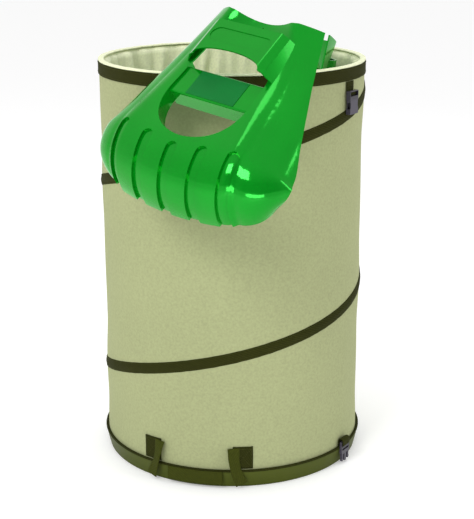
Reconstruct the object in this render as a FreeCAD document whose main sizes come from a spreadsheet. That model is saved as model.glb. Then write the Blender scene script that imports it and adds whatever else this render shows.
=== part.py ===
import FreeCAD, Part
import math, os
from FreeCAD import Vector, Placement, Rotation
import Sketcher

doc = FreeCAD.newDocument("PopUpGardenBag")
sheet = doc.addObject("Spreadsheet::Sheet", "Sizes")

# name: value in mm (angles in degrees)
SIZES = [
    ("wall_radius", 227.6), ("wall_thick", 1.2), ("wall_bottom", 20.0), ("wall_top", 696.4),
    ("liner_radius", 220.6), ("liner_thick", 0.8), ("liner_bottom", 5.6), ("liner_top", 696.4),
    ("wire_radius", 223.5), ("wire_dia", 3.0), ("ring_dia", 3.6), ("rim_ring_z", 687.0), ("base_ring_z", 24.5),
    ("spiral_pitch", 335.0), ("spiral_low_z", 29.6), ("spiral_rise", 646.4), ("spiral_angle", 52.0),
    ("tape_radius", 227.9), ("tape_thick", 1.2), ("tape_width", 19.5),
    ("band_radius", 227.9), ("band_thick", 1.4), ("band_low", 675.5), ("band_top", 697.0),
    ("piping_low", 697.3), ("piping_dia", 3.0),
    ("tray_foot", 226.0), ("tray_top_radius", 232.4), ("tray_height", 29.0), ("tray_thick", 2.4), ("tray_floor", 3.0),
    ("ledge_low", 29.3), ("ledge_top", 32.5), ("ledge_in", 228.0), ("ledge_out", 232.9),
    ("floor_low", 3.3), ("floor_thick", 1.6), ("floor_radius", 219.0),
    ("webbing_width", 25.0), ("webbing_thick", 1.4), ("buckle_width", 28.0),
    ("buckle_azimuth", -32.7), ("rear_azimuth", 147.3),
    ("tab_width", 34.0), ("tab_low", 34.0), ("tab_top", 74.0), ("tab_thick", 1.6),
    ("tab_left_azimuth", -126.5), ("tab_right_azimuth", -85.5),
    ("loop_radius", 233.4), ("loop_thick", 1.8), ("loop_low", 6.5), ("loop_top", 31.0),
    ("scoop_skin", 2.4), ("claw_radius", 82.0), ("claw_angle", 92.0), ("claw_bow", 13.0),
    ("tine_pitch", 53.3), ("channel_width", 19.4), ("channel_depth", 4.2),
    ("grip_depth", 30.0), ("grip_length", 52.0), ("flange_depth", 27.0),
    ("bridge_height", 25.0), ("panel_width", 92.0), ("panel_length", 46.0), ("panel_thick", 0.8),
]
for i, (k, v) in enumerate(SIZES):
    sheet.set("A%d" % (i + 1), k)
    sheet.set("B%d" % (i + 1), repr(v))
    sheet.setAlias("B%d" % (i + 1), k)
doc.recompute()
S = {k: float(getattr(sheet, k)) for k, v in SIZES}
NODES = []


def ev(e):
    """value of a size expression written with the sheet's names"""
    if isinstance(e, (int, float)):
        return float(e)
    total = 0.0
    for tok in e.replace("-", "+-").split("+"):
        tok = tok.strip()
        if not tok:
            continue
        sign = 1.0
        if tok.startswith("-"):
            sign = -1.0
            tok = tok[1:].strip()
        div = 1.0
        if "/" in tok:
            tok, d = tok.split("/")
            div = float(d)
        tok = tok.strip()
        total += sign * (S[tok] if tok in S else float(tok)) / div
    return total


def fx(e):
    """the same expression for setExpression"""
    out = e
    for k in sorted(S, key=len, reverse=True):
        out = out.replace(k, "@%d@" % list(S).index(k))
    for i, k in enumerate(S):
        out = out.replace("@%d@" % i, "Sizes." + k)
    return out


def body(label, az=None):
    b = doc.addObject("PartDesign::Body", "B_" + label)
    b.Label = label
    if az is not None:
        b.Placement = Placement(Vector(0, 0, 0), Rotation(Vector(0, 0, 1), ev(az)))
        if isinstance(az, str):
            b.setExpression("Placement.Rotation.Angle", fx(az))
            b.setExpression("Placement.Rotation.Axis.z", "1")
    NODES.append(b)
    return b


def plane(b, role):
    for f in b.Origin.OriginFeatures:
        if f.Role == role:
            return f


def sketch(b, name, role, off=0.0):
    s = b.newObject("Sketcher::SketchObject", name)
    s.AttachmentSupport = [(plane(b, role), "")]
    s.MapMode = "FlatFace"
    if off:
        s.AttachmentOffset = Placement(Vector(0, 0, ev(off)), Rotation())
    return s


def poly(s, pts, construction=False):
    """closed outline; every corner is held by two sizes, bound to the sheet where the size is named"""
    base = s.GeometryCount
    P = [(ev(a), ev(b)) for a, b in pts]
    n = len(P)
    for i in range(n):
        a, b = P[i], P[(i + 1) % n]
        s.addGeometry(Part.LineSegment(Vector(a[0], a[1], 0), Vector(b[0], b[1], 0)), False)
    for i in range(n):
        s.addConstraint(Sketcher.Constraint("Coincident", base + i, 2, base + (i + 1) % n, 1))
    for i in range(n):
        for ax, kind, k in ((0, "DistanceX", -2), (1, "DistanceY", -1)):
            val = P[i][ax]
            if abs(val) < 1e-9:
                s.addConstraint(Sketcher.Constraint("PointOnObject", base + i, 1, k))
            else:
                c = s.addConstraint(Sketcher.Constraint(kind, -1, 1, base + i, 1, val))
                if isinstance(pts[i][ax], str):
                    s.setExpression("Constraints[%d]" % c, fx(pts[i][ax]))


def circ(s, x, y, r):
    i = s.addGeometry(Part.Circle(Vector(ev(x), ev(y), 0), Vector(0, 0, 1), ev(r)), False)
    c = s.addConstraint(Sketcher.Constraint("Radius", i, ev(r)))
    if isinstance(r, str):
        s.setExpression("Constraints[%d]" % c, fx(r))
    c = s.addConstraint(Sketcher.Constraint("DistanceX", -1, 1, i, 3, ev(x)))
    if isinstance(x, str):
        s.setExpression("Constraints[%d]" % c, fx(x))
    c = s.addConstraint(Sketcher.Constraint("DistanceY", -1, 1, i, 3, ev(y)))
    if isinstance(y, str):
        s.setExpression("Constraints[%d]" % c, fx(y))


def rect(s, x0, x1, y0, y1):
    poly(s, [(x0, y0), (x1, y0), (x1, y1), (x0, y1)])


def revolve(b, s, angle=360.0, mid=False):
    r = b.newObject("PartDesign::Revolution", "Revolve")
    r.Profile = s
    r.ReferenceAxis = (s, ["V_Axis"])
    r.Angle = angle
    r.Midplane = mid
    doc.recompute()
    b.Tip = r
    return r


def pad(b, s, length, mid=False):
    p = b.newObject("PartDesign::Pad", "Pad")
    p.Profile = s
    p.Length = ev(length)
    if isinstance(length, str):
        p.setExpression("Length", fx(length))
    p.Midplane = mid
    doc.recompute()
    b.Tip = p
    return p


def pocket(b, s, length, mid=False):
    before = b.Shape.Volume
    p = b.newObject("PartDesign::Pocket", "Pocket")
    p.Profile = s
    p.Length = ev(length)
    if isinstance(length, str):
        p.setExpression("Length", fx(length))
    p.Midplane = mid
    doc.recompute()
    b.Tip = p
    assert b.Shape.Volume < before - 0.5, (b.Label, "pocket cut nothing", before, b.Shape.Volume)
    return p


def fillet(b, feat, r, edges):
    f = b.newObject("PartDesign::Fillet", "Fillet")
    f.Base = (feat, edges)
    f.Radius = r
    doc.recompute()
    b.Tip = f
    return f


# ---------------------------------------------------------------- base tray, its ledge and the bag's floor
b = body("base_tray")
s = sketch(b, "Profile", "XZ_Plane")
poly(s, [(0, 0), ("tray_foot-1.5", 0), ("tray_foot", 1.5), ("tray_top_radius", "tray_height"),
         ("tray_top_radius-tray_thick", "tray_height"), ("tray_foot-tray_thick-0.4", "tray_floor"), (0, "tray_floor")])
revolve(b, s)

b = body("base_ledge")
s = sketch(b, "Profile", "XZ_Plane")
poly(s, [("ledge_in", "ledge_low"), ("ledge_out", "ledge_low"), ("ledge_out", "ledge_top-1"),
         ("ledge_out-1", "ledge_top"), ("ledge_in", "ledge_top")])
revolve(b, s)

b = body("floor_panel")
s = sketch(b, "Profile", "XZ_Plane")
rect(s, 0, "floor_radius", "floor_low", "floor_low+floor_thick")
revolve(b, s)

# ---------------------------------------------------------------- fabric wall and loose liner
b = body("wall_fabric")
s = sketch(b, "Profile", "XZ_Plane")
rect(s, "wall_radius-wall_thick", "wall_radius", "wall_bottom", "wall_top")
revolve(b, s)

b = body("inner_liner")
s = sketch(b, "Profile", "XZ_Plane")
rect(s, "liner_radius-liner_thick", "liner_radius", "liner_bottom", "liner_top")
revolve(b, s)

# ---------------------------------------------------------------- rim: webbing band, liner piping, wire ring
b = body("rim_binding")
s = sketch(b, "Profile", "XZ_Plane")
rect(s, "band_radius", "band_radius+band_thick", "band_low", "band_top")
revolve(b, s)

b = body("rim_piping")
s = sketch(b, "Profile", "XZ_Plane")
poly(s, [("liner_radius-1.2", "piping_low"), ("band_radius+0.4", "piping_low"), ("band_radius+1.1", "piping_low+0.8"),
         ("band_radius+0.6", "piping_low+2.2"), ("band_radius-0.6", "piping_low+piping_dia"),
         ("liner_radius-0.4", "piping_low+piping_dia"), ("liner_radius-1.4", "piping_low+2.0")])
revolve(b, s)

for label, z in (("rim_ring", "rim_ring_z"), ("base_ring", "base_ring_z")):
    b = body(label)
    s = sketch(b, "Wire", "XZ_Plane")
    circ(s, "wire_radius", z, "ring_dia/2")
    revolve(b, s)

# ---------------------------------------------------------------- spiral spring and the tape that covers it
def helix(b, s, low):
    h = b.newObject("PartDesign::AdditiveHelix", "Helix")
    h.Profile = s
    h.ReferenceAxis = (s, ["V_Axis"])
    h.Mode = 0
    h.Pitch = S["spiral_pitch"]
    h.setExpression("Pitch", "Sizes.spiral_pitch")
    h.Height = low
    h.Angle = 0
    h.LeftHanded = False
    h.Reversed = False
    doc.recompute()
    b.Tip = h
    return h


b = body("spiral_spring", "spiral_angle+3")
s = sketch(b, "Wire", "XZ_Plane")
circ(s, "wire_radius", "spiral_low_z+2.8", "wire_dia/2")
helix(b, s, S["spiral_rise"] - 1.0)

b = body("spiral_tape", "spiral_angle")
s = sketch(b, "Strip", "XZ_Plane")
rect(s, "tape_radius", "tape_radius+tape_thick", "spiral_low_z-tape_width/2", "spiral_low_z+tape_width/2")
h = helix(b, s, S["spiral_rise"])
for name, lo, hi in (("LowTrim", "spiral_low_z-40", "ledge_top+0.4"), ("TopTrim", "band_low-0.4", "band_top+30")):
    s = sketch(b, name, "XZ_Plane")
    rect(s, "tape_radius-6", "tape_radius+8", lo, hi)
    v0 = b.Shape.Volume
    g = b.newObject("PartDesign::Groove", name + "Cut")
    g.Profile = s
    g.ReferenceAxis = (s, ["V_Axis"])
    g.Angle = 360
    doc.recompute()
    b.Tip = g
    assert b.Shape.Volume < v0

# short crimped sleeves where the spiral's ends sit against the two rings
for label, az, z in (("spring_crimp_top", 26.6, "rim_ring_z-6"), ("spring_crimp_low", 58.0, "base_ring_z+5")):
    b = body(label, az)
    s = sketch(b, "Sleeve", "XZ_Plane")
    zc = z
    if label.endswith("top"):
        rect(s, "wire_radius-0.8", "wire_radius+0.8", "rim_ring_z-3.6", "rim_ring_z-2.1")
    else:
        rect(s, "wire_radius-0.8", "wire_radius+0.8", "base_ring_z+2.1", "base_ring_z+3.6")
    pad(b, s, 12.0, True)

# ---------------------------------------------------------------- side-release buckles on their webbing
LOOP_OUT = 3.25
for tag, az in (("front", "buckle_azimuth"), ("rear", "rear_azimuth")):
    # upper webbing, hanging from under the rim band, with a loop round the socket's bar
    b = body("top_strap_" + tag, az)
    s = sketch(b, "Flat", "XZ_Plane")
    rect(s, 228.5, 229.9, 655.0, 674.9)
    pad(b, s, "webbing_width", True)
    s = sketch(b, "LoopOut", "XZ_Plane")
    circ(s, 231.75, 655.0, LOOP_OUT)
    pad(b, s, "webbing_width", True)
    s = sketch(b, "LoopIn", "XZ_Plane")
    circ(s, 231.75, 655.0, 1.85)
    pocket(b, s, 40.0, True)

    # socket half
    b = body("female_buckle_" + tag, az)
    s = sketch(b, "Outline", "YZ_Plane", 230.3)
    poly(s, [("-buckle_width/2", 659.0), (-12.8, 660.2), (12.8, 660.2), ("buckle_width/2", 659.0),
             ("buckle_width/2", 646.0), (12.3, 641.0), (12.3, 634.0), ("buckle_width/2", 629.5), ("buckle_width/2", 623.0),
             (12.6, 621.6), (-12.6, 621.6), ("-buckle_width/2", 623.0), ("-buckle_width/2", 629.5), (-12.3, 634.0),
             (-12.3, 641.0), ("-buckle_width/2", 646.0)])
    p = pad(b, s, 7.7)
    s = sketch(b, "StrapSlot", "YZ_Plane", 240.0)
    rect(s, -12.9, 12.9, 651.4, 658.6)
    pocket(b, s, 14.0)
    s = sketch(b, "SlotRelief", "YZ_Plane", 234.0)
    rect(s, -12.9, 12.9, 658.0, 662.0)
    pocket(b, s, 6.0)
    s = sketch(b, "Socket", "YZ_Plane", 236.4)
    rect(s, -10.8, 10.8, 620.0, 646.0)
    pocket(b, s, 4.4)
    s = sketch(b, "LatchWindows", "YZ_Plane", 236.4)
    rect(s, -16.0, 16.0, 630.5, 640.5)
    pocket(b, s, 4.4)
    s = sketch(b, "Bar", "XZ_Plane")
    circ(s, 231.75, 655.0, 1.5)
    pad(b, s, 26.6, True)

    # lower webbing: sewn above the ledge, folded over it and down to the plug's bar
    b = body("bottom_strap_" + tag, az)
    s = sketch(b, "Sewn", "XZ_Plane")
    rect(s, 228.3, 229.7, 33.6, 42.0)
    pad(b, s, "webbing_width", True)
    s = sketch(b, "FoldOut", "XZ_Plane")
    circ(s, 233.875, 42.0, 5.575)
    pad(b, s, "webbing_width", True)
    s = sketch(b, "FoldIn", "XZ_Plane")
    circ(s, 233.875, 42.0, 4.175)
    pocket(b, s, 40.0, True)
    s = sketch(b, "FoldOpen", "XZ_Plane")
    rect(s, 229.7, 238.05, 34.0, 42.0)
    pocket(b, s, 40.0, True)
    s = sketch(b, "Outer", "XZ_Plane")
    rect(s, 238.05, 239.45, 36.0, 42.2)
    pad(b, s, "webbing_width", True)
    s = sketch(b, "LoopOut", "XZ_Plane")
    circ(s, 236.2, 36.0, LOOP_OUT)
    pad(b, s, "webbing_width", True)
    s = sketch(b, "LoopIn", "XZ_Plane")
    circ(s, 236.2, 36.0, 1.85)
    pocket(b, s, 40.0, True)

    # plug half: ladder, tongue and two latch arms
    b = body("male_buckle_" + tag, az)
    s = sketch(b, "Outline", "YZ_Plane", 233.4)
    poly(s, [(-14.0, 40.2), (-13.0, 41.2), (13.0, 41.2), (14.0, 40.2), (14.0, 21.5), (12.0, 19.5),
             (11.6, 12.0), (12.8, 9.0), (11.0, 5.0), (8.4, 5.6), (8.2, 18.0), (3.2, 18.6), (3.2, 5.0), (2.2, 4.0),
             (-2.2, 4.0), (-3.2, 5.0), (-3.2, 18.6), (-8.2, 18.0), (-8.4, 5.6), (-11.0, 5.0), (-12.8, 9.0),
             (-11.6, 12.0), (-12.0, 19.5), (-14.0, 21.5)])
    pad(b, s, 4.2)
    s = sketch(b, "StrapSlot", "YZ_Plane", 240.0)
    rect(s, -12.9, 12.9, 32.4, 39.6)
    pocket(b, s, 10.0)
    s = sketch(b, "LadderSlot", "YZ_Plane", 240.0)
    rect(s, -11.5, 11.5, 25.4, 28.9)
    pocket(b, s, 10.0)
    s = sketch(b, "Bar", "XZ_Plane")
    circ(s, 236.2, 36.0, 1.5)
    pad(b, s, 26.6, True)

# ---------------------------------------------------------------- tipping handle at the foot
for tag, az in (("left", "tab_left_azimuth"), ("right", "tab_right_azimuth")):
    b = body("handle_tab_" + tag, az)
    s = sketch(b, "Patch", "XZ_Plane")
    rect(s, 228.0, "228.0+tab_thick", "tab_low", "tab_top")
    half = math.degrees(S["tab_width"] / 2 / 228.0)
    revolve(b, s, 2 * half, True)
    # folded webbing standing beside the patch
    side = 1.0 if tag == "left" else -1.0
    f = sketch(b, "Fold", "XZ_Plane", -side * 18.0)
    poly(f, [(228.2, 40.0), (229.6, 33.8), (233.6, 33.4), (233.8, 12.0), (236.0, 9.0), (237.6, 14.0), (238.0, 30.0),
             (236.4, 46.0), (232.6, 62.0), (229.0, 70.0), (227.8, 70.0)])
    pad(b, f, 3.2, True)

b = body("handle_loop", -106.0)
s = sketch(b, "Strap", "XZ_Plane")
rect(s, "loop_radius", "loop_radius+loop_thick", "loop_low", "loop_top")
revolve(b, s, 24.0, True)


# ---------------------------------------------------------------- leaf scoop (one moulding, used twice)
def scoop_shape():
    t = S["scoop_skin"]
    Rc = S["claw_radius"]
    bow = S["claw_bow"]
    phi1 = S["claw_angle"]
    # length along the moulding from the top edge; edge half width and height, ridge half width and
    # height, middle height, outward bulge of the side wing
    arc = math.radians(1.0) * Rc
    ROWS = [(0.0, 99.0, -5.0, 61.0, 23.0, 2.0, 0.5),
            (33.0, 113.0, -14.0, 74.0, 10.0, 0.4, 1.0),
            (90.0, 134.0, -27.0, 88.0, 0.4, 0.0, 3.0),
            (160.0, 159.0, -44.0, 98.0, 0.0, 0.0, 6.0),
            (220.0, 179.0, -60.0, 108.0, 0.0, 0.0, 9.0),
            (220.0 + 28 * arc, 181.0, -60.0, 111.0, 0.0, bow * 0.30, 11.0),
            (220.0 + 60 * arc, 176.0, -58.0, 114.0, 0.0, bow * 0.66, 13.0),
            (220.0 + phi1 * arc, 163.0, -54.0, 115.0, 0.0, bow, 12.0),
            (220.0 + (phi1 + 4.0) * arc, 161.0, -54.0, 115.0, 0.0, bow, 12.0)]

    def row_at(s):
        n = len(ROWS)
        i = 0
        while i < n - 2 and s > ROWS[i + 1][0]:
            i += 1
        p1, p2 = ROWS[i], ROWS[i + 1]
        p0 = ROWS[i - 1] if i > 0 else None
        p3 = ROWS[i + 2] if i + 2 < n else None
        h = p2[0] - p1[0]
        x = (s - p1[0]) / h
        out = []
        for k in range(1, 7):
            d = (p2[k] - p1[k]) / h
            m1 = d if p0 is None else 0.5 * (d + (p1[k] - p0[k]) / (p1[0] - p0[0]))
            m2 = d if p3 is None else 0.5 * (d + (p3[k] - p2[k]) / (p3[0] - p2[0]))
            if p0 is not None and abs(p1[k] - p0[k]) < 1e-9 or abs(d) < 1e-9:
                m1 = 0.0
            if p3 is not None and abs(p3[k] - p2[k]) < 1e-9 or abs(d) < 1e-9:
                m2 = 0.0
            h00 = 2 * x ** 3 - 3 * x ** 2 + 1
            h10 = x ** 3 - 2 * x ** 2 + x
            h01 = -2 * x ** 3 + 3 * x ** 2
            h11 = x ** 3 - x ** 2
            out.append(h00 * p1[k] + h10 * h * m1 + h01 * p2[k] + h11 * h * m2)
        return out

    NW, NF, NT = 11, 5, 12

    def outline(row):
        b, we, a, wr, wm, bulge = row
        E, R = (b, we), (a, wr)
        dx, dy = E[0] - R[0], E[1] - R[1]
        L = math.hypot(dx, dy)
        n = (-dy / L, dx / L)
        if n[1] < 0:
            n = (-n[0], -n[1])
        c = 12.0
        F1 = (R[0] + dx / L * c, R[1] + dy / L * c)
        uf = a - c
        F2 = (uf, wm + (wr - wm) * (uf / a) ** 2)
        W = ((E[0] + F1[0]) / 2 + n[0] * bulge, (E[1] + F1[1]) / 2 + n[1] * bulge)
        C = (2 * W[0] - (E[0] + F1[0]) / 2, 2 * W[1] - (E[1] + F1[1]) / 2)
        pts = []
        for i in range(NW):
            x = i / float(NW)
            pts.append((E[0] * (1 - x) ** 2 + 2 * x * (1 - x) * C[0] + F1[0] * x * x,
                        E[1] * (1 - x) ** 2 + 2 * x * (1 - x) * C[1] + F1[1] * x * x))
        for i in range(NF):
            x = i / float(NF)
            pts.append((F1[0] * (1 - x) ** 2 + 2 * x * (1 - x) * R[0] + F2[0] * x * x,
                        F1[1] * (1 - x) ** 2 + 2 * x * (1 - x) * R[1] + F2[1] * x * x))
        for i in range(NT + 1):
            u = uf * (1 - i / float(NT))
            pts.append((u, wm + (wr - wm) * (u / a) ** 2))
        return pts + [(-p[0], p[1]) for p in reversed(pts[:-1])]

    def place(s, p):
        if s <= 220.0:
            return Vector(p[0], 220.0 - s, p[1])
        th = (s - 220.0) / Rc
        rho = Rc + p[1]
        return Vector(p[0], -rho * math.sin(th), -Rc + rho * math.cos(th))

    smax = 220.0 + (phi1 + 3.0) * arc
    stations = [i * 220.0 / 18 for i in range(19)] + [220.0 + (smax - 220.0) * i / 12 for i in range(1, 13)]
    grid = []
    for s in stations:
        row = row_at(s)
        line = []
        for p in outline(row):
            q = place(s, p)
            # the top corners of the wings stand a little past the top edge
            out = max(0.0, (abs(p[0]) - row[2]) / (row[0] - row[2]))
            q.y += 15.0 * out * max(0.0, 1.0 - s / 80.0) ** 2
            line.append(q)
        grid.append(line)
    ni, nj = len(grid), len(grid[0])
    normal = []
    for i in range(ni):
        line = []
        for j in range(nj):
            a = grid[min(i + 1, ni - 1)][j] - grid[max(i - 1, 0)][j]
            b = grid[i][min(j + 1, nj - 1)] - grid[i][max(j - 1, 0)]
            n = b.cross(a)
            n.normalize()
            line.append(n)
        normal.append(line)
    mid = normal[5][nj // 2]
    flip = 1.0 if mid.z > 0 else -1.0

    def skin(off):
        srf = Part.BSplineSurface()
        srf.interpolate([[grid[i][j] - normal[i][j] * (off * flip) for j in range(nj)] for i in range(ni)])
        return srf

    def thick(o1, o2):
        A, B = skin(o1), skin(o2)
        fa, fb = A.toShape(), B.toShape()
        au0, au1, av0, av1 = A.bounds()
        bu0, bu1, bv0, bv1 = B.bounds()
        faces = [fa, fb]
        for ca, cb in ((A.uIso(au0), B.uIso(bu0)), (A.uIso(au1), B.uIso(bu1)),
                       (A.vIso(av0), B.vIso(bv0)), (A.vIso(av1), B.vIso(bv1))):
            faces.append(Part.makeRuledSurface(ca.toShape(), cb.toShape()))
        sh = Part.makeShell(faces)
        sh.sewShape()
        so = Part.makeSolid(sh.Shells[0] if sh.ShapeType != "Shell" else sh)
        if so.Volume < 0:
            so.reverse()
        return so

    dch = S["channel_depth"]
    main = thick(0.0, t)
    core = thick(dch, dch + t)
    both = thick(0.0, dch + t)
    print("skins", round(main.Volume), main.isValid(), round(core.Volume), core.isValid(), round(both.Volume), both.isValid())

    def prism(uc, head, half):
        lo = head - S["channel_width"] / 2
        box = Part.makeBox(2 * half, 200.0, 260.0, Vector(uc - half, lo - 200.0, -180.0))
        cyl = Part.makeCylinder(half, 260.0, Vector(uc, lo, -180.0), Vector(0, 0, 1))
        return box.fuse(cyl)

    half = S["channel_width"] / 2
    shell = main
    parts = []
    for i in (-2, -1, 0, 1, 2):
        uc = i * S["tine_pitch"]
        head = -24.0 + 7.5 * abs(i)
        po = prism(uc, head, half)
        pi = prism(uc, head, half + t)
        shell = shell.cut(po)
        parts.append(core.common(po))
        parts.append(both.common(pi.cut(po)))
    shell = shell.fuse(parts)
    # the tips of the tines end on one flat plane through the claw's axis
    past = Part.makeBox(460.0, 40.0, 190.0, Vector(-230.0, -40.0, 10.0))
    past.rotate(Vector(0, 0, 0), Vector(1, 0, 0), phi1)
    past.translate(Vector(0, 0, -Rc))
    shell = shell.cut(past)

    # hand opening
    def u_face(grow):
        k = [(74.0, 112.0), (75.0, 84.0), (75.5, 52.0), (66.0, 22.0), (49.0, 3.0), (26.0, -8.0), (0.0, -12.0)]
        P = []
        for i, (x, y) in enumerate(k):
            if i in (0, 1, 2):
                P.append((x + grow, y))
            elif i == 6:
                P.append((x, y - grow))
            else:
                r = math.hypot(x, y - 62.0)
                P.append((x + grow * x / r, y + grow * (y - 62.0) / r))
        pts = [Vector(x, y, 0) for x, y in P] + [Vector(-x, y, 0) for x, y in reversed(P[:-1])]
        c = Part.BSplineCurve()
        c.interpolate(pts)
        top = 172.0
        a, z = pts[0], pts[-1]
        q = [z, Vector(-66.0 - grow, top - 14, 0), Vector(-50.0 - grow, top + grow, 0),
             Vector(50.0 + grow, top + grow, 0), Vector(66.0 + grow, top - 14, 0), a]
        e = [c.toShape()] + [Part.LineSegment(q[i], q[i + 1]).toShape() for i in range(5)]
        return Part.Face(Part.Wire(e))
    fd = S["flange_depth"]
    hole = u_face(0.0)
    hole.translate(Vector(0, 0, -40))
    hole = hole.extrude(Vector(0, 0, 56))
    fl = u_face(t)
    fl.translate(Vector(0, 0, -fd))
    fl = fl.extrude(Vector(0, 0, fd - 1.7))
    fl = fl.common(Part.makeBox(300, 135, 80, Vector(-150, -17, -60))).cut(hole)
    shell = shell.cut(hole)
    shell = shell.fuse(fl)

    # grip bar: an open-bottomed box across the opening
    gl, gd = S["grip_length"], S["grip_depth"]
    g = Part.makeBox(154.0, gl, gd, Vector(-77.0, 60.0, -4.0 - gd))
    g = g.makeFillet(3.5, [e for e in g.Edges if abs(e.Vertexes[0].Z + 4.0) < 1e-6 and abs(e.Vertexes[1].Z + 4.0) < 1e-6
                          and abs(e.Vertexes[0].Y - e.Vertexes[1].Y) < 1e-6])
    gi = Part.makeBox(148.0, gl - 2 * t, gd, Vector(-74.0, 60.0 + t, -4.0 - gd - t))
    shell = shell.fuse(g.cut(gi))

    # wrist bridge
    hb = S["bridge_height"]

    def bridge(inset, lo, hi):
        P = [(-84.0 + inset * 1.1, -2.6), (-71.0 + inset, hb - 8.0), (-61.0 + inset * 0.5, hb - inset),
             (61.0 - inset * 0.5, hb - inset), (71.0 - inset, hb - 8.0), (84.0 - inset * 1.1, -2.6)]
        w = Part.makePolygon([Vector(x, lo, z) for x, z in P] + [Vector(P[0][0], lo, P[0][1])])
        return Part.Face(w).extrude(Vector(0, hi - lo, 0))
    br = bridge(0.0, 118.0, 191.0)
    br = br.makeFillet(5.0, [e for e in br.Edges if e.Length > 70 and abs(e.Vertexes[0].Z - e.Vertexes[1].Z) < 1e-6
                             and e.Vertexes[0].Z > 0 and abs(e.Vertexes[0].X - e.Vertexes[1].X) < 1e-6])
    br = br.cut(bridge(t, 110.0, 200.0))
    el = Part.Ellipse(Vector(0, 118.0, 0), 63.0, 19.0)
    ef = Part.Face(Part.Wire([el.toShape()]))
    ef.translate(Vector(0, 0, -10))
    br = br.cut(ef.extrude(Vector(0, 0, 60)))
    a, r = 42.0, 14.0
    rec = Part.makeBox(2 * a, 2 * r, 10, Vector(-a, 162 - r, hb - 1.2)).fuse(
        [Part.makeCylinder(r, 10, Vector(-a, 162, hb - 1.2)), Part.makeCylinder(r, 10, Vector(a, 162, hb - 1.2))])
    br = br.cut(rec)
    shell = shell.fuse(br)

    # hang hole in the top plate
    hh = Part.makeBox(34.0, 7.0, 60, Vector(-17.0, 201.0, -20)).fuse([Part.makeCylinder(5.0, 60, Vector(0, 206.0, -20)),
          Part.makeCylinder(3.5, 60, Vector(-17.0, 204.5, -20)), Part.makeCylinder(3.5, 60, Vector(17.0, 204.5, -20))])
    shell = shell.cut(hh)
    print("pieces", [round(q.Volume) for q in sorted(shell.Solids, key=lambda q: -q.Volume)[:8]])
    return sorted(shell.Solids, key=lambda q: -q.Volume)[0]


SC = scoop_shape()
print("scoop", SC.ShapeType, SC.isValid(), round(SC.Volume), SC.BoundBox)
PANEL = Part.makeBox(S["panel_width"], S["panel_length"], S["panel_thick"],
                     Vector(-S["panel_width"] / 2, 63.0, -4.0))
front = Placement(Vector(-70.8, -376.3, 642.4), Rotation(0.331373, -0.057861, -0.340968, 0.87783))
rear = Placement(Vector(120.339, 34.6074, 508.16), Rotation(0.466446, 0.583039, 0.519418, 0.415571))
for tag, pl in (("front", front), ("rear", rear)):
    for label, shp in (("scoop_" + tag, SC), ("grip_panel_" + tag, PANEL)):
        f = doc.addObject("Part::Feature", "F_" + label)
        f.Label = label
        f.Shape = shp.copy()
        f.Placement = pl
        NODES.append(f)

doc.recompute()
bad = [o.Name for o in doc.Objects if "Invalid" in o.State or "Error" in o.State]
for n in NODES:
    sh = n.Shape
    if sh.isNull() or not sh.isValid() or len(sh.Solids) < 1:
        bad.append(n.Label)
assert not bad, bad
os.makedirs("parts", exist_ok=True)
for n in NODES:
    sh = n.Shape
    sh.exportStep("parts/%s.step" % n.Label)
    bb = sh.BoundBox
    print("%-22s vol %10.0f  x %.1f..%.1f y %.1f..%.1f z %.1f..%.1f solids %d" % (
        n.Label, sh.Volume, bb.XMin, bb.XMax, bb.YMin, bb.YMax, bb.ZMin, bb.ZMax, len(sh.Solids)))
print(len(NODES), "nodes")
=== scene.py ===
import bpy, bmesh, math, random
from mathutils import Vector, Matrix, noise


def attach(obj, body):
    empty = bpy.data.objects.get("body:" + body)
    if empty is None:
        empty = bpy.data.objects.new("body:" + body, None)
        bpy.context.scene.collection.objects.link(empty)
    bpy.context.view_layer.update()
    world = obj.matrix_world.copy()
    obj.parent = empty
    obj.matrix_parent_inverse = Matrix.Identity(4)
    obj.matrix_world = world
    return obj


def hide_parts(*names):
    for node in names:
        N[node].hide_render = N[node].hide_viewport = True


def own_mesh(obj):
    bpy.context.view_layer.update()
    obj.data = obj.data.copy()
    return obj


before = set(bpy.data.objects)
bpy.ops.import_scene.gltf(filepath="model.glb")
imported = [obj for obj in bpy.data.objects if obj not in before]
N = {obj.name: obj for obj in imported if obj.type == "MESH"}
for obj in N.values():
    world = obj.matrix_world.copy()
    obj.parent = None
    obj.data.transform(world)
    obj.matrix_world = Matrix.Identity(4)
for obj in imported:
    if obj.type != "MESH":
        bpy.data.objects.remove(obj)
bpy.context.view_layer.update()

rnd = random.Random(7)
MM = 0.001


def rad(a):
    return math.radians(a)


def cyl(r, th, z):
    """r in metres, th in degrees from +X"""
    return Vector((r * math.cos(rad(th)), r * math.sin(rad(th)), z))


def smooth(a, b, x):
    x = max(0.0, min(1.0, (x - a) / (b - a)))
    return x * x * (3 - 2 * x)


# ------------------------------------------------------------------ materials
def new_mat(name):
    m = bpy.data.materials.new(name)
    m.use_nodes = True
    nt = m.node_tree
    nt.nodes.clear()
    out = nt.nodes.new("ShaderNodeOutputMaterial")
    b = nt.nodes.new("ShaderNodeBsdfPrincipled")
    nt.links.new(b.outputs[0], out.inputs[0])
    return m, nt, b


def link(nt, a, b):
    nt.links.new(a, b)


def node(nt, kind, **kw):
    n = nt.nodes.new(kind)
    for k, v in kw.items():
        setattr(n, k, v)
    return n


def ramp(nt, fac, stops):
    r = node(nt, "ShaderNodeValToRGB")
    while len(r.color_ramp.elements) < len(stops):
        r.color_ramp.elements.new(0.5)
    for e, (p, c) in zip(r.color_ramp.elements, stops):
        e.position = p
        e.color = (c[0], c[1], c[2], 1)
    link(nt, fac, r.inputs[0])
    return r


def mapping(nt, coord, scale, rot=(0, 0, 0)):
    mp = node(nt, "ShaderNodeMapping")
    mp.inputs["Scale"].default_value = scale
    mp.inputs["Rotation"].default_value = rot
    link(nt, coord, mp.inputs[0])
    return mp.outputs[0]


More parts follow.
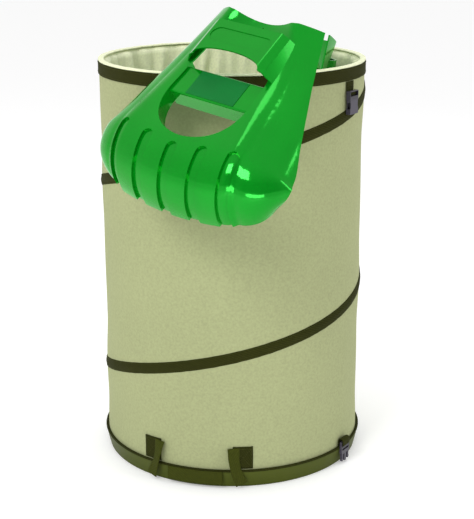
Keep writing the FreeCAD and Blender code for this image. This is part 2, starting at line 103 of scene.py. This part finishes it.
def math_node(nt, op, a, b=None):
    n = node(nt, "ShaderNodeMath", operation=op)
    for i, v in enumerate((a, b)):
        if v is None:
            continue
        if hasattr(v, "links"):
            link(nt, v, n.inputs[i])
        else:
            n.inputs[i].default_value = v
    return n.outputs[0]


def mix_col(nt, fac, a, b, blend="MIX"):
    n = node(nt, "ShaderNodeMix", data_type="RGBA", blend_type=blend)
    for sock, v in ((n.inputs[0], fac), (n.inputs[6], a), (n.inputs[7], b)):
        if hasattr(v, "links"):
            link(nt, v, sock)
        elif isinstance(v, (int, float)):
            sock.default_value = v
        else:
            sock.default_value = (v[0], v[1], v[2], 1)
    return n.outputs[2]


def woven(name, base, dark, thread, rough=0.86, bump=0.25, twill=False, sheen=0.25, blotch=0.12, spec=0.25):
    """woven cloth from the UV map, which is in metres; thread is the thread pitch in metres"""
    m, nt, b = new_mat(name)
    uv = node(nt, "ShaderNodeUVMap")
    k = 1.0 / thread / (2 * math.pi) * 2 * math.pi / 2.0
    rot = (0, 0, rad(32)) if twill else (0, 0, 0)
    co = mapping(nt, uv.outputs[0], (k, k, k), rot)
    wx = node(nt, "ShaderNodeTexWave", wave_type="BANDS", bands_direction="X")
    wy = node(nt, "ShaderNodeTexWave", wave_type="BANDS", bands_direction="Y")
    for w in (wx, wy):
        w.inputs["Scale"].default_value = 0.314
        w.inputs["Distortion"].default_value = 0.6
        w.inputs["Detail"].default_value = 1.0
        link(nt, co, w.inputs[0])
    if twill:
        wy.inputs["Scale"].default_value = 0.2
    th = math_node(nt, "MULTIPLY", wx.outputs["Fac"], wy.outputs["Fac"])
    th = math_node(nt, "ADD", th, math_node(nt, "MULTIPLY", wx.outputs["Fac"], 0.35))
    geo = node(nt, "ShaderNodeNewGeometry")
    big = node(nt, "ShaderNodeTexNoise")
    big.inputs["Scale"].default_value = 5.5
    big.inputs["Detail"].default_value = 5.0
    link(nt, geo.outputs["Position"], big.inputs[0])
    fine = node(nt, "ShaderNodeTexNoise")
    fine.inputs["Scale"].default_value = 260.0
    fine.inputs["Detail"].default_value = 2.0
    link(nt, geo.outputs["Position"], fine.inputs[0])
    c = mix_col(nt, math_node(nt, "MULTIPLY", th, 0.55), dark, base)
    c1 = ramp(nt, big.outputs["Fac"], [(0.25, (1 - blotch,) * 3), (0.75, (1 + blotch * 0.4,) * 3)])
    c = mix_col(nt, 1.0, c, c1.outputs[0], "MULTIPLY")
    c2 = ramp(nt, fine.outputs["Fac"], [(0.3, (0.9,) * 3), (0.7, (1.06,) * 3)])
    c = mix_col(nt, 1.0, c, c2.outputs[0], "MULTIPLY")
    link(nt, c, b.inputs["Base Color"])
    b.inputs["Roughness"].default_value = rough
    b.inputs["Sheen Weight"].default_value = sheen
    b.inputs["Sheen Roughness"].default_value = 0.5
    b.inputs["Sheen Tint"].default_value = (min(1, base[0] * 2.2), min(1, base[1] * 2.2), min(1, base[2] * 2.2), 1)
    b.inputs["Specular IOR Level"].default_value = spec
    bp = node(nt, "ShaderNodeBump")
    bp.inputs["Strength"].default_value = bump
    bp.inputs["Distance"].default_value = 0.0006
    link(nt, th, bp.inputs["Height"])
    bp2 = node(nt, "ShaderNodeBump")
    bp2.inputs["Strength"].default_value = 0.12
    bp2.inputs["Distance"].default_value = 0.004
    link(nt, big.outputs["Fac"], bp2.inputs["Height"])
    link(nt, bp.outputs[0], bp2.inputs["Normal"])
    link(nt, bp2.outputs[0], b.inputs["Normal"])
    return m


def plastic(name, base, rough=0.35, coat=0.0, tint=None, candy=0.0, var=0.08, grain=0.0006, grain_strength=0.12, wear=None, spec=0.5, scale=900.0):
    m, nt, b = new_mat(name)
    geo = node(nt, "ShaderNodeNewGeometry")
    n1 = node(nt, "ShaderNodeTexNoise")
    n1.inputs["Scale"].default_value = 14.0
    n1.inputs["Detail"].default_value = 6.0
    link(nt, geo.outputs["Position"], n1.inputs[0])
    n2 = node(nt, "ShaderNodeTexNoise")
    n2.inputs["Scale"].default_value = scale
    n2.inputs["Detail"].default_value = 2.0
    link(nt, geo.outputs["Position"], n2.inputs[0])
    lo = tuple(x * (1 - var) for x in base)
    hi = tuple(min(1, x * (1 + var)) for x in base)
    c = ramp(nt, n1.outputs["Fac"], [(0.3, lo), (0.7, hi)]).outputs[0]
    if wear:
        p = ramp(nt, geo.outputs["Pointiness"], [(0.505, (0, 0, 0)), (0.56, (1, 1, 1))])
        c = mix_col(nt, math_node(nt, "MULTIPLY", p.outputs[0], 0.5), c, wear)
    link(nt, c, b.inputs["Base Color"])
    r = ramp(nt, n1.outputs["Fac"], [(0.25, (rough * 0.85,) * 3), (0.8, (min(1, rough * 1.2),) * 3)])
    link(nt, r.outputs[0], b.inputs["Roughness"])
    b.inputs["Coat Weight"].default_value = coat
    b.inputs["Coat Roughness"].default_value = 0.04
    b.inputs["Coat IOR"].default_value = 1.65
    b.inputs["Specular IOR Level"].default_value = spec
    b.inputs["Metallic"].default_value = candy
    if tint:
        b.inputs["Specular Tint"].default_value = (tint[0], tint[1], tint[2], 1)
    bp = node(nt, "ShaderNodeBump")
    bp.inputs["Strength"].default_value = grain_strength
    bp.inputs["Distance"].default_value = grain
    link(nt, n2.outputs["Fac"], bp.inputs["Height"])
    link(nt, bp.outputs[0], b.inputs["Normal"])
    return m


def steel(name):
    m, nt, b = new_mat(name)
    geo = node(nt, "ShaderNodeNewGeometry")
    n1 = node(nt, "ShaderNodeTexNoise")
    n1.inputs["Scale"].default_value = 120.0
    n1.inputs["Detail"].default_value = 5.0
    link(nt, geo.outputs["Position"], n1.inputs[0])
    c = ramp(nt, n1.outputs["Fac"], [(0.3, (0.32, 0.33, 0.34)), (0.7, (0.55, 0.55, 0.56))])
    link(nt, c.outputs[0], b.inputs["Base Color"])
    b.inputs["Metallic"].default_value = 1.0
    r = ramp(nt, n1.outputs["Fac"], [(0.3, (0.25,) * 3), (0.7, (0.45,) * 3)])
    link(nt, r.outputs[0], b.inputs["Roughness"])
    return m


M_FAB = woven("bag_cloth", (0.415, 0.445, 0.232), (0.32, 0.345, 0.175), 0.0009, bump=0.18, sheen=0.1, blotch=0.05)
M_LIN = woven("liner_cloth", (0.90, 0.93, 0.66), (0.76, 0.80, 0.52), 0.0007, rough=0.6, bump=0.15, sheen=0.1, blotch=0.05)
M_WEB = woven("webbing", (0.046, 0.050, 0.006), (0.018, 0.020, 0.002), 0.0011, rough=0.85, bump=0.5, twill=True, sheen=0.08, blotch=0.15, spec=0.1)
# lighter copy of the webbing for the handle's fold and loop: painted light, standing for the light these parts of the
# strap catch
M_WEB_LIT = woven("handle_webbing_lit_cloth", (0.062, 0.074, 0.007), (0.036, 0.043, 0.004), 0.0011, rough=0.85, bump=0.5, twill=True, sheen=0.08, blotch=0.15, spec=0.1)
M_THREAD = woven("thread", (0.085, 0.092, 0.022), (0.04, 0.045, 0.01), 0.0004, rough=0.7, bump=0.3, twill=True, spec=0.1)
M_TRAY = plastic("tray_plastic", (0.046, 0.058, 0.005), rough=0.5, var=0.12, grain=0.0005, grain_strength=0.3, wear=(0.08, 0.095, 0.02), spec=0.12, tint=(0.8, 1.0, 0.4))
M_BUCKLE = plastic("buckle_plastic", (0.024, 0.021, 0.032), rough=0.38, var=0.15, grain_strength=0.2, wear=(0.07, 0.06, 0.09), spec=0.4)
M_GREEN = plastic("scoop_plastic", (0.0, 0.255, 0.009), rough=0.10, coat=0.12, candy=0.38, tint=(0.14, 1.0, 0.22), var=0.06, grain=0.0004, grain_strength=0.015, spec=0.85, scale=300.0)
M_PANEL = plastic("grip_panel", (0.003, 0.14, 0.022), rough=0.5, var=0.1, grain=0.0004, grain_strength=0.6, scale=1400.0, spec=0.25, tint=(0.15, 1.0, 0.35))
M_STEEL = steel("spring_steel")


def paint(o, m):
    o.data.materials.clear() if o.name not in N else None
    if o.name in N and o.material_slots:
        for s in o.material_slots:
            s.link = "OBJECT"
            s.material = m
    else:
        o.data.materials.append(m)


# ------------------------------------------------------------------ mesh helpers
def mesh_obj(name, verts, faces, uvs=None, mat=None, flat=False):
    me = bpy.data.meshes.new(name)
    me.from_pydata([tuple(v) for v in verts], [], faces)
    me.update()
    if uvs is not None:
        lay = me.uv_layers.new(name="UVMap")
        for poly in me.polygons:
            fuv = uvs[poly.index] if isinstance(uvs, dict) else None
            for li, vi in zip(poly.loop_indices, poly.vertices):
                lay.data[li].uv = uvs[vi] if fuv is None else fuv[vi]
    for p in me.polygons:
        p.use_smooth = not flat
    o = bpy.data.objects.new(name, me)
    bpy.context.scene.collection.objects.link(o)
    if mat:
        me.materials.append(mat)
    return o


def grid_obj(name, rows, uvrows, mat, close_u=False, close_v=False):
    """rows[i][j] points; close_u joins the last row to the first, close_v the last column to the first"""
    ni, nj = len(rows), len(rows[0])
    verts = [p for r in rows for p in r]
    faces, fuv = [], []
    for i in range(ni if close_u else ni - 1):
        for j in range(nj if close_v else nj - 1):
            i2, j2 = (i + 1) % ni, (j + 1) % nj
            faces.append((i * nj + j, i * nj + j2, i2 * nj + j2, i2 * nj + j))
            a = uvrows(i, j)
            b = uvrows(i, j + 1)
            c = uvrows(i + 1, j + 1)
            d = uvrows(i + 1, j)
            fuv.append((a, b, c, d))
    me = bpy.data.meshes.new(name)
    me.from_pydata([tuple(v) for v in verts], [], faces)
    lay = me.uv_layers.new(name="UVMap")
    k = 0
    for poly, q in zip(me.polygons, fuv):
        for li, c in zip(poly.loop_indices, q):
            lay.data[li].uv = c
    me.update()
    for p in me.polygons:
        p.use_smooth = True
    bm = bmesh.new()
    bm.from_mesh(me)
    bmesh.ops.recalc_face_normals(bm, faces=bm.faces)
    bm.to_mesh(me)
    bm.free()
    o = bpy.data.objects.new(name, me)
    bpy.context.scene.collection.objects.link(o)
    me.materials.append(mat)
    return o


def revolved(name, profile, seg, mat, wobble=None):
    """closed profile [(r, z)] turned round Z; wobble(th, r, z) -> (dr, dz)"""
    rows = []
    for i in range(seg):
        th = 360.0 * i / seg
        row = []
        for r, z in profile:
            dr, dz = wobble(th, r, z) if wobble else (0, 0)
            row.append(cyl(r + dr, th, z + dz))
        rows.append(row)
    L = [0]
    for a, b in zip(profile, profile[1:] + profile[:1]):
        L.append(L[-1] + math.hypot(a[0] - b[0], a[1] - b[1]))
    R = profile[0][0]
    return grid_obj(name, rows, lambda i, j: (2 * math.pi * R * i / seg, L[j]), mat, close_u=True, close_v=True)


def rounded(r0, r1, z0, z1, c, n=3):
    """rounded rectangle profile in (r, z)"""
    P = []
    for cx, cz, a0 in ((r1 - c, z1 - c, 0), (r0 + c, z1 - c, 90), (r0 + c, z0 + c, 180), (r1 - c, z0 + c, 270)):
        for k in range(n + 1):
            a = rad(a0 + 90.0 * k / n)
            P.append((cx + c * math.cos(a), cz + c * math.sin(a)))
    return P


def sweep(name, path, wdirs, width, thick, mat, across=7, crown=0.0):
    """webbing: a flat band along path; wdirs is the direction across it at each point"""
    n = len(path)
    rows = []
    L = [0.0]
    for a, b in zip(path, path[1:]):
        L.append(L[-1] + (b - a).length)
    for i in range(n):
        t = (path[min(i + 1, n - 1)] - path[max(i - 1, 0)]).normalized()
        w = wdirs[i] if isinstance(wdirs, list) else wdirs
        w = (w - t * w.dot(t)).normalized()
        nn = t.cross(w).normalized()
        row = []
        for k in range(across):
            x = -0.5 + k / (across - 1.0)
            h = thick / 2 * (1.0 if 0 < k < across - 1 else 0.35) + crown * (1 - 4 * x * x)
            row.append(path[i] + w * (x * width) + nn * h)
        for k in range(across - 1, -1, -1):
            x = -0.5 + k / (across - 1.0)
            h = thick / 2 * (1.0 if 0 < k < across - 1 else 0.35) - crown * (1 - 4 * x * x)
            row.append(path[i] + w * (x * width) - nn * h)
        rows.append(row)
    o = grid_obj(name, rows, lambda i, j: (L[min(i, n - 1)], (j % (2 * across)) * width / across), mat, close_v=True)
    bm = bmesh.new()
    bm.from_mesh(o.data)
    bm.edges.ensure_lookup_table()
    bound = [e for e in bm.edges if e.is_boundary]
    bmesh.ops.holes_fill(bm, edges=bound, sides=0)
    bmesh.ops.recalc_face_normals(bm, faces=bm.faces)
    bm.to_mesh(o.data)
    bm.free()
    for p in o.data.polygons:
        p.use_smooth = True
    return o


def stitches(name, spots, mat, length=0.0030, wide=0.0007, high=0.00035):
    """spots: (centre, along, normal); one small thread bump each"""
    V, F = [], []
    for c, t, n in spots:
        t = t.normalized()
        n = n.normalized()
        s = t.cross(n).normalized()
        b = len(V)
        for x, yy, zz in ((-1, 0, -0.6), (-0.62, 1, -0.3), (-0.62, -1, -0.3), (-0.62, 0, 1), (0.62, 1, -0.3), (0.62, -1, -0.3), (0.62, 0, 1), (1, 0, -0.6)):
            V.append(c + t * (x * length / 2) + s * (yy * wide / 2) + n * (zz * high))
        F += [(b, b + 1, b + 3), (b, b + 3, b + 2), (b, b + 2, b + 1), (b + 1, b + 4, b + 6, b + 3), (b + 3, b + 6, b + 5, b + 2),
              (b + 2, b + 5, b + 4, b + 1), (b + 7, b + 6, b + 4), (b + 7, b + 5, b + 6), (b + 7, b + 4, b + 5)]
    return mesh_obj(name, V, F, [(v.x + v.y, v.z) for v in V], mat)


# ------------------------------------------------------------------ the spiral's line
def tape_z(th):
    return 0.2325 + 0.335 * (th + 90.0) / 360.0


TH0, TH1 = -308.0, 386.6
Z_LOW, Z_HIGH = 0.0327, 0.6757


def near_tape(th, z):
    """height above or below the nearest turn of the tape"""
    best = 9.0
    for k in (-2, -1, 0, 1, 2):
        t = th + 360.0 * k
        if TH0 <= t <= TH1:
            d = z - tape_z(t)
            if abs(d) < abs(best):
                best = d
    return best


def wall_r(th, z):
    d = abs(near_tape(th, z))
    free = smooth(0.008, 0.085, d) * smooth(0.032, 0.10, z) * (1 - smooth(0.60, 0.675, z))
    p = Vector((math.cos(rad(th)) * 1.3, math.sin(rad(th)) * 1.3, z * 3.2))
    n1 = noise.noise(p * 2.0)
    n2 = noise.noise(Vector((th / 9.0, z * 9.0, 3.1)))
    # short puckers running out of the seams
    pk = math.exp(-max(0.0, d - 0.010) / 0.018) * noise.noise(Vector((th / 2.3, 7.7, z * 14.0)))
    rim = math.exp(-(0.675 - z) / 0.02) if z < 0.675 else 0
    pk += rim * noise.noise(Vector((th / 1.9, 1.7, 4.0)))
    return 0.22765 + free * (-0.0016 + 0.0016 * n1 + 0.0007 * n2) + 0.0005 * min(0.0, pk - 0.1) * (1 if d > 0.0095 else 0)


# ------------------------------------------------------------------ wall of the bag
SEG, ROWS = 480, 210
zs = [0.0205 + (0.6962 - 0.0205) * i / ROWS for i in range(ROWS + 1)]
rows = [[cyl(wall_r(360.0 * j / SEG, z), 360.0 * j / SEG, z) for j in range(SEG)] for z in zs]
wall = grid_obj("bag_wall", rows, lambda i, j: (1.4303 * j / SEG, zs[min(i, ROWS)]), M_FAB, close_v=True)
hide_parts("wall_fabric")
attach(wall, "base")

# ------------------------------------------------------------------ loose liner
def liner_r(th, z):
    amp = 0.0035 + 0.0085 * smooth(0.30, 0.60, z) * (1 - 0.35 * smooth(0.66, 0.695, z))
    a = th + 7.0 * noise.noise(Vector((z * 5.0, 0.3, 0.0))) + 4.0 * noise.noise(Vector((z * 11.0, th / 40.0, 2.0)))
    f = 0.5 + 0.32 * math.sin(rad(a * 17)) * (0.6 + 0.4 * math.sin(rad(a * 3 + 40))) + 0.22 * math.sin(rad(a * 31 + 70)) + 0.12 * math.sin(rad(a * 53))
    f += 0.5 * noise.noise(Vector((th / 5.0, z * 4.5, 9.0)))
    return 0.2202 - amp * max(0.0, min(1.4, f))


SEGL, ROWL = 720, 110
zl = [0.0062 + (0.6966 - 0.0062) * i / ROWL for i in range(ROWL + 1)]
def liner_pt(th, z):
    r = liner_r(th, z)
    k = smooth(0.690, 0.6966, z)
    return cyl(r + (0.2240 - r) * k, th, z)
rows = [[liner_pt(360.0 * j / SEGL, z) for j in range(SEGL)] for z in zl]
liner = grid_obj("bag_liner", rows, lambda i, j: (1.38 * j / SEGL, zl[min(i, ROWL)]), M_LIN, close_v=True)
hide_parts("inner_liner")
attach(liner, "base")

# ------------------------------------------------------------------ floor of the bag
rows = []
NR, NS = 26, 180
for i in range(NR + 1):
    r = 0.0006 + 0.2174 * i / NR
    row = []
    for j in range(NS):
        th = 360.0 * j / NS
        h = 0.0043 + 0.0006 * noise.noise(Vector((r * 30 * math.cos(rad(th)), r * 30 * math.sin(rad(th)), 1.0)))
        h += 0.0009 * smooth(0.205, 0.2174, r)
        row.append(cyl(r, th, h))
    rows.append(row)
floor_cloth = grid_obj("bag_floor", rows, lambda i, j: (rows[min(i, NR)][j % NS].x, rows[min(i, NR)][j % NS].y), M_LIN, close_v=True)
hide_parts("floor_panel")
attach(floor_cloth, "base")

# ------------------------------------------------------------------ wire spiral (hidden in the wall)
rows = []
L = 0
pts = []
STEPS = 620
for i in range(STEPS + 1):
    th = TH0 + 3 + (TH1 - TH0 - 5) * i / STEPS
    z = 0.0324 + (0.6774 - 0.0324) * i / STEPS
    c = cyl(0.2235, th, z)
    er = cyl(1.0, th, 0)
    up = Vector((0, 0, 1))
    rows.append([c + er * (0.0015 * math.cos(rad(k * 45))) + up * (0.0015 * math.sin(rad(k * 45))) for k in range(8)])
spring = grid_obj("wire_spiral", rows, lambda i, j: (i * 0.0045, j * 0.0012), M_STEEL, close_v=True)
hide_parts("spiral_spring")
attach(spring, "base")

# ------------------------------------------------------------------ tape over the spiral
def tape_profile():
    # (offset up the wall, height off the wall)
    w = 0.00975
    P = [(-w, 0.00045), (-w * 0.93, 0.00095), (-w * 0.70, 0.00125), (-w * 0.38, 0.0019), (-w * 0.15, 0.0022), (0, 0.0023),
         (w * 0.15, 0.0022), (w * 0.38, 0.0018), (w * 0.70, 0.00125), (w * 0.93, 0.00095), (w, 0.00045), (w, 0.0001), (-w, 0.0001)]
    return P
TP = tape_profile()
STEPT = 1150
rows, sp = [], []
for i in range(STEPT + 1):
    th = TH0 - 4 + (TH1 - TH0 + 8) * i / STEPT
    zc = tape_z(th)
    wav = 0.00018 * noise.noise(Vector((th / 3.0, 0, 0)))
    row = []
    for dz, h in TP:
        z = max(Z_LOW, min(Z_HIGH, zc + dz + wav * (2 if dz > 0 else -2)))
        row.append(cyl(0.22768 + h + wav, th, z))
    rows.append(row)
tape = grid_obj("spiral_tape_cover", rows, lambda i, j: (i * 0.00242, TP[j % len(TP)][0]), M_WEB, close_v=True)
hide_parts("spiral_tape")
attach(tape, "base")
sp = []
th = TH0 + 2
while th < TH1 - 1:
    zc = tape_z(th)
    for off, h in ((-0.0079, 0.0012), (0.0079, 0.0012)):
        z = zc + off
        if Z_LOW + 0.002 < z < Z_HIGH - 0.002:
            p = cyl(0.22768 + h, th, z)
            t = cyl(0.2289, th + 0.5, z + 0.335 * 0.5 / 360) - cyl(0.2289, th - 0.5, z - 0.335 * 0.5 / 360)
            sp.append((p, t, cyl(1, th, 0)))
    th += 1.05
tape_st = stitches("spiral_tape_stitching", sp, M_THREAD)
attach(tape_st, "base")

# ------------------------------------------------------------------ rim: band, hem, stitching
def band_w(th, r, z):
    n = noise.noise(Vector((math.cos(rad(th)) * 6, math.sin(rad(th)) * 6, 0.5)))
    return 0.00018 * n, 0.0002 * noise.noise(Vector((math.cos(rad(th)) * 9, math.sin(rad(th)) * 9, 4.5)))
band = revolved("rim_band", rounded(0.22795, 0.22955, 0.6756, 0.6971, 0.0006), 540, M_WEB, band_w)
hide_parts("rim_binding")
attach(band, "rim")
prof = [(0.2191, 0.6976), (0.2190, 0.6990), (0.2199, 0.7001), (0.2215, 0.7004), (0.2240, 0.7003), (0.2265, 0.7004), (0.2284, 0.7002),
        (0.2292, 0.6993), (0.2292, 0.6980), (0.2286, 0.6973), (0.2260, 0.6973), (0.2225, 0.6973)]
def hem_w(th, r, z):
    n = noise.noise(Vector((math.cos(rad(th)) * 14, math.sin(rad(th)) * 14, 2.5)))
    m = noise.noise(Vector((math.cos(rad(th)) * 40, math.sin(rad(th)) * 40, 8.5)))
    up = 1.0 if z > 0.6985 else 0.0
    return 0.0004 * n, up * (0.0004 * n + 0.00035 * m)
hem = revolved("liner_hem", prof, 720, M_LIN, hem_w)
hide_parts("rim_piping")
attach(hem, "rim")
sp = []
for z in (0.6785, 0.6943):
    th = 0.0
    while th < 360:
        sp.append((cyl(0.22963, th, z), cyl(1, th + 90, 0), cyl(1, th, 0)))
        th += 1.0
band_st = stitches("rim_band_stitching", sp, M_THREAD)
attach(band_st, "rim")

# ------------------------------------------------------------------ ledge binding on the tray
led = revolved("tray_binding", rounded(0.2281, 0.2330, 0.0293, 0.0325, 0.0013, 4), 480, M_WEB,
               lambda th, r, z: (0.00012 * noise.noise(Vector((math.cos(rad(th)) * 30, math.sin(rad(th)) * 30, 0))), 0))
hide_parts("base_ledge")
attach(led, "base")

# ------------------------------------------------------------------ webbing of the buckles
def arc(cr, cz, rr, a0, a1, n):
    return [(cr + rr * math.cos(rad(a0 + (a1 - a0) * i / n)), cz + rr * math.sin(rad(a0 + (a1 - a0) * i / n))) for i in range(n + 1)]


for tag, az in (("front", -32.7), ("rear", 147.3)):
    side = cyl(1, az + 90, 0)
    P = [(229.2, 674.7), (229.2, 670), (229.15, 665), (229.2, 660), (229.2, 657)] + arc(231.75, 655, 2.5, 180, 505, 22)
    path = [cyl(r * MM, az, z * MM) for r, z in P]
    o = sweep("upper_webbing_" + tag, path, side, 0.0248, 0.0012, M_WEB)
    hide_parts("top_strap_" + tag)
    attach(o, "strap_" + tag)
    sp = []
    for dx in (-0.0098, -0.0033, 0.0033, 0.0098):
        for z in (664.5,):
            sp.append((cyl(0.22985, az, z * MM) + side * dx, side, cyl(1, az, 0)))
    for k in range(9):
        for z in (663.0, 667.5):
            sp.append((cyl(0.22985, az, z * MM) + side * (-0.0104 + 0.0026 * k), side, cyl(1, az, 0)))
    o = stitches("upper_webbing_stitching_" + tag, sp, M_THREAD, length=0.0021)
    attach(o, "strap_" + tag)
    P = [(229.0, 33.7), (229.0, 37), (229.0, 41)] + arc(233.875, 42, 4.85, 180, 0, 16) + [(238.73, 40), (238.73, 38)] + arc(236.2, 36, 2.5, 0, -320, 22)
    path = [cyl(r * MM, az, z * MM) for r, z in P]
    o = sweep("lower_webbing_" + tag, path, side, 0.0248, 0.0012, M_WEB)
    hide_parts("bottom_strap_" + tag)
    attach(o, "base")

# ------------------------------------------------------------------ tipping handle
def patch(name, az, w, z0, z1, r0, th, body, node_name):
    half = math.degrees(w / 2 / r0)
    rows = []
    NI, NJ = 16, 14
    for i in range(NI + 1):
        z = z0 + (z1 - z0) * i / NI
        row = []
        for j in range(NJ + 1):
            a = az - half + 2 * half * j / NJ
            edge = min(min(i, NI - i) / 1.5, min(j, NJ - j) / 1.5, 1.0)
            row.append(cyl(r0 + th * (0.55 + 0.45 * edge) + 0.00025 * noise.noise(Vector((a / 2, z * 60, 0))), a, z))
        rows.append(row)
    o = grid_obj(name, rows, lambda i, j: (rows[0][0].z * 0 + i * (z1 - z0) / NI, j * w / NJ), M_WEB)
    mod = o.modifiers.new("thickness", "SOLIDIFY")
    mod.thickness = th * 0.9
    mod.offset = -1
    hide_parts(node_name)
    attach(o, body)
    return o


def fold(name, az, sgn, body):
    """the handle webbing leaving the top of the patch, standing out and going down in front of the tray"""
    keys = [(0.0265, 229.4, 71.5, 1.0, 0.0), (0.0262, 231.0, 66.0, 1.0, 0.15), (0.0262, 233.6, 56.0, 0.95, 0.35), (0.0250, 235.8, 45.0, 0.9, 0.5),
            (0.0225, 236.8, 33.0, 0.9, 0.5), (0.0185, 237.0, 22.0, 0.95, 0.35), (0.0150, 236.2, 13.0, 1.0, 0.2), (0.0130, 235.4, 8.0, 1.0, 0.1)]
    path, wd = [], []
    n = 28
    for i in range(n + 1):
        x = i / n * (len(keys) - 1)
        k = min(int(x), len(keys) - 2)
        f = x - k
        f2 = f * f * (3 - 2 * f) * 0.35 + f * 0.65
        q = [a + (b - a) * f2 for a, b in zip(keys[k], keys[k + 1])]
        base = cyl(q[1] * MM, az, q[2] * MM)
        tang = cyl(1, az + 90, 0) * sgn
        path.append(base + tang * (q[0] - 0.0105))
        wd.append((tang * q[3] + cyl(1, az, 0) * q[4] * 0.9).normalized())
    o = sweep(name, path, wd, 0.0205, 0.0018, M_WEB_LIT, across=9, crown=0.0008)
    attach(o, body)
    return o


TABS = (("left", -126.5, 1.0), ("right", -85.5, -1.0))
for tag, az, sgn in TABS:
    patch("handle_end_" + tag, az, 0.034, 0.0340, 0.0738, 0.22775, 0.0017, "base", "handle_tab_" + tag)
    fold("handle_fold_" + tag, az, sgn, "base")
    sp = []
    z0, z1, h = 0.0375, 0.0700, 0.0140
    n = 11
    up = Vector((0, 0, 1))
    for k in range(n + 1):
        x = -h + 2 * h * k / n
        tang = cyl(1, az + 90, 0)
        for z in (z0, z1):
            a = az + math.degrees(x / 0.229)
            sp.append((cyl(0.22955, a, z), cyl(1, a + 90, 0), cyl(1, a, 0)))
    for k in range(12):
        z = z0 + (z1 - z0) * (k + 0.5) / 12
        for x in (-h, h):
            a = az + math.degrees(x / 0.229)
            sp.append((cyl(0.22955, a, z), up, cyl(1, a, 0)))
        for s in (-1, 1):
            x = s * (-h + 2 * h * (k + 0.5) / 12)
            a = az + math.degrees(x / 0.229)
            sp.append((cyl(0.22955, a, z), (cyl(1, a + 90, 0) * s * 2 * h + up * (z1 - z0)), cyl(1, a, 0)))
    o = stitches("handle_stitching_" + tag, sp, M_THREAD, length=0.0022)
    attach(o, "base")

path, n = [], 60
for i in range(n + 1):
    a = -118.0 + 24.0 * i / n
    r = 0.2343 + 0.0003 * noise.noise(Vector((a / 3.0, 0, 0)))
    path.append(cyl(r, a, 0.0188 + 0.0006 * noise.noise(Vector((a / 5.0, 3, 0)))))
loop = sweep("handle_webbing", path, Vector((0, 0, 1)), 0.0242, 0.0016, M_WEB_LIT, across=9)
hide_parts("handle_loop")
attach(loop, "handle")

# ------------------------------------------------------------------ carried-over pieces
for name, m in (("base_tray", M_TRAY), ("rim_ring", M_STEEL), ("base_ring", M_STEEL), ("spring_crimp_top", M_STEEL),
                ("spring_crimp_low", M_STEEL), ("female_buckle_front", M_BUCKLE), ("female_buckle_rear", M_BUCKLE),
                ("male_buckle_front", M_BUCKLE), ("male_buckle_rear", M_BUCKLE), ("scoop_front", M_GREEN),
                ("scoop_rear", M_GREEN), ("grip_panel_front", M_PANEL), ("grip_panel_rear", M_PANEL)):
    o = N[name]
    if not o.material_slots:
        o.data.materials.append(m)
    for s in o.material_slots:
        s.link = "OBJECT"
        s.material = m
    if "buckle" in name:
        bv = o.modifiers.new("soft_edges", "BEVEL")
        bv.width = 0.0005
        bv.segments = 2
        bv.limit_method = "ANGLE"
        bv.angle_limit = rad(35)
        bv.harden_normals = False

# ------------------------------------------------------------------ soft pieces: each gets its own copy of its mesh data
for o, keep in ((wall, 0.157), (liner, 0.157), (spring, 0.140), (tape, 0.095), (tape_st, 0.095)):
    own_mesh(o)


# ------------------------------------------------------------------ floor, light and camera
ground = mesh_obj("ground", [(-40, -40, -0.0004), (40, -40, -0.0004), (40, 60, -0.0004), (-40, 60, -0.0004)], [(0, 1, 2, 3)],
                  [(0, 0), (1, 0), (1, 1), (0, 1)], None)
mg, nt, b = new_mat("ground_white")
b.inputs["Base Color"].default_value = (0.86, 0.86, 0.86, 1)
b.inputs["Roughness"].default_value = 0.9
b.inputs["Specular IOR Level"].default_value = 0.1
b.inputs["Emission Color"].default_value = (1, 1, 1, 1)
b.inputs["Emission Strength"].default_value = 0.27
ground.data.materials.append(mg)

world = bpy.data.worlds.new("studio")
bpy.context.scene.world = world
world.use_nodes = True
wn = world.node_tree
bg = wn.nodes["Background"]
tc = wn.nodes.new("ShaderNodeTexCoord")
sx = wn.nodes.new("ShaderNodeSeparateXYZ")
link(wn, tc.outputs["Generated"], sx.inputs[0])
ry = ramp(wn, math_node(wn, "MULTIPLY", math_node(wn, "ADD", sx.outputs[1], 1.0), 0.5), [(0.10, (0.32,) * 3), (0.52, (1.0,) * 3)])
rz = ramp(wn, sx.outputs[2], [(0.35, (0.0,) * 3), (0.85, (1.0,) * 3)])
link(wn, mix_col(wn, rz.outputs[0], ry.outputs[0], (1.0, 1.0, 1.0)), bg.inputs[0])
bg.inputs[1].default_value = 0.86


def area_light(name, loc, target, sx, sy, power, col=(1, 1, 1)):
    l = bpy.data.lights.new(name, "AREA")
    l.shape = "RECTANGLE"
    l.size, l.size_y = sx, sy
    l.energy = power
    l.color = col
    o = bpy.data.objects.new(name, l)
    o.location = loc
    d = Vector(target) - Vector(loc)
    o.rotation_euler = d.to_track_quat("-Z", "Y").to_euler()
    bpy.context.scene.collection.objects.link(o)
    return o


area_light("key_left", (-1.5, -2.4, 2.3), (0, 0, 0.45), 1.3, 1.0, 44)
area_light("strip_right", (2.2, -1.2, 0.9), (0, 0, 0.5), 0.40, 1.9, 10)
area_light("low_front", (-0.3, -2.6, 0.30), (0, 0, 0.50), 1.9, 0.35, 12)
area_light("top", (0.0, -0.2, 2.6), (0, 0, 0.5), 1.2, 0.8, 8)
area_light("back", (0.9, 2.4, 2.2), (0, 0, 0.6), 1.6, 1.2, 6)

cam = bpy.data.cameras.new("camera")
cam.sensor_width = 36.0
cam.sensor_fit = "AUTO"
cam.lens = 89.63
cam.clip_end = 200
co = bpy.data.objects.new("camera", cam)
co.location = (0.0, -2.2300, 0.9766)
co.rotation_euler = (rad(73.988), 0.0, rad(-0.226))
bpy.context.scene.collection.objects.link(co)
bpy.context.scene.camera = co
bpy.context.scene.view_settings.view_transform = "Standard"
bpy.context.scene.view_settings.look = "None"
